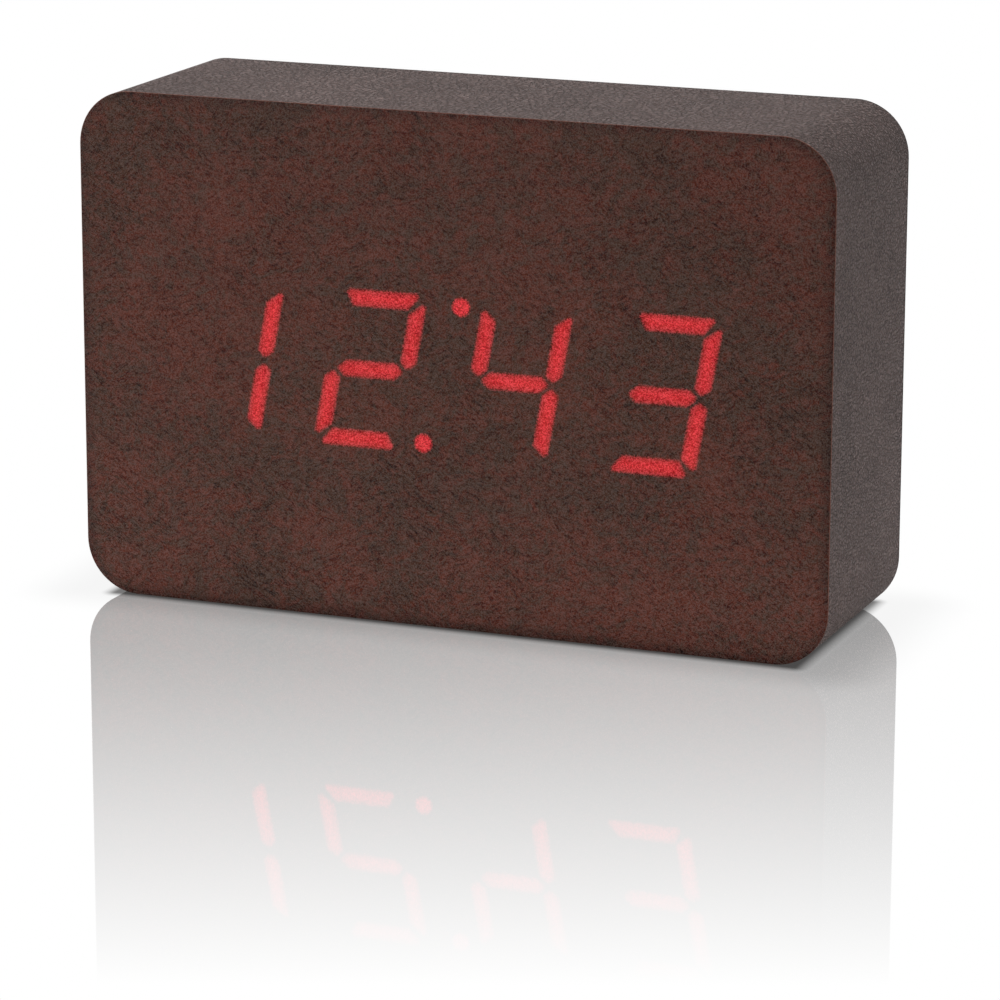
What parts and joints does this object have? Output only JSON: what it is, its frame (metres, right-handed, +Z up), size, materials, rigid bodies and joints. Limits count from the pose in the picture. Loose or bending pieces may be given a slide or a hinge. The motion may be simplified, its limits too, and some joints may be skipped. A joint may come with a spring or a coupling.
{
  "type": "digital LED desk clock",
  "caption": "Upright brick-shaped desk clock in leather-look film; a red seven-segment time shines through its front, with buttons, power inlet and battery bay in its back.",
  "frame": {"origin": "centre of the overall box, on the surface that the clock stands on", "axes": "+X to the right of the display, +Y from the display to the back, +Z up"},
  "size_m": [0.15, 0.0482, 0.098],
  "materials": {
    "front_film": "matt leather-look film, mottled red-brown",
    "wrap_film": "satin pebbled leather-look film, grey-brown",
    "lit_film": "film lit red from behind",
    "fibreboard": "raw medium-density fibreboard",
    "milky_sheet": "translucent milky sheet",
    "white_plastic": "satin white moulding",
    "circuit_board": "green solder mask",
    "lamp_lens": "pale resin",
    "chip_black": "moulded epoxy",
    "black_plastic": "fine spark-eroded texture",
    "button_plastic": "satin moulding",
    "switch_plastic": "satin moulding",
    "screw_steel": "blackened steel",
    "nickel": "nickel plated steel",
    "brass_pin": "bright",
    "cell_casing": "printed sleeve, plain, over a metal can",
    "red_insulation": "satin",
    "black_insulation": "satin",
    "grey_ribbon": "ribbed satin",
    "capacitor_sleeve": "shrunk sleeve",
    "sensor_resin": "dipped resin"
  },
  "bodies": {
    "clock": {"front_skin": "front_film", "lit_windows": "lit_film", "front_panel": "fibreboard", "case_ring": "fibreboard", "side_wrap": "wrap_film", "rear_panel": "fibreboard", "rear_skin": "wrap_film", "diffuser_sheet": "milky_sheet", "reflector_frame": "white_plastic", "display_board": "circuit_board", "segment_leds": "lamp_lens", "display_driver": "chip_black", "display_screws": "nickel", "control_housing": "black_plastic", "housing_screws": "screw_steel", "battery_springs": "nickel", "contact_plates": "nickel", "positive_lead": "red_insulation", "negative_lead": "black_insulation", "control_board": "circuit_board", "board_screws": "nickel", "tact_switches": "switch_plastic", "power_socket": "switch_plastic", "power_socket_pin": "brass_pin", "microphone": "nickel", "thermistor": "sensor_resin", "buzzer": "switch_plastic", "microcontroller": "chip_black", "clock_crystal": "nickel", "capacitors": "capacitor_sleeve", "ribbon_headers": "switch_plastic", "ribbon_cable": "grey_ribbon", "aaa_cell_1": "cell_casing", "aaa_cell_2": "cell_casing", "aaa_cell_3": "cell_casing", "aaa_cell_4": "cell_casing"},
    "battery_door": {"battery_door": "black_plastic"},
    "set_button": {"set_button": "button_plastic", "set_plunger": "white_plastic"},
    "up_button": {"up_button": "button_plastic", "up_plunger": "white_plastic"},
    "down_button": {"down_button": "button_plastic", "down_plunger": "white_plastic"}
  },
  "joints": [
    {"name": "battery_door_slide", "type": "slide", "parent": "clock", "child": "battery_door", "axis": [1, 0, 0], "range_m": [0, 0.061]},
    {"name": "set_button_press", "type": "slide", "parent": "clock", "child": "set_button", "axis": [0, -1, 0], "range_m": [0, 0.0006], "stiffness_N_per_m": 800, "springref_m": -0.0003},
    {"name": "up_button_press", "type": "slide", "parent": "clock", "child": "up_button", "axis": [0, -1, 0], "range_m": [0, 0.0006], "stiffness_N_per_m": 800, "springref_m": -0.0003},
    {"name": "down_button_press", "type": "slide", "parent": "clock", "child": "down_button", "axis": [0, -1, 0], "range_m": [0, 0.0006], "stiffness_N_per_m": 800, "springref_m": -0.0003}
  ]
}
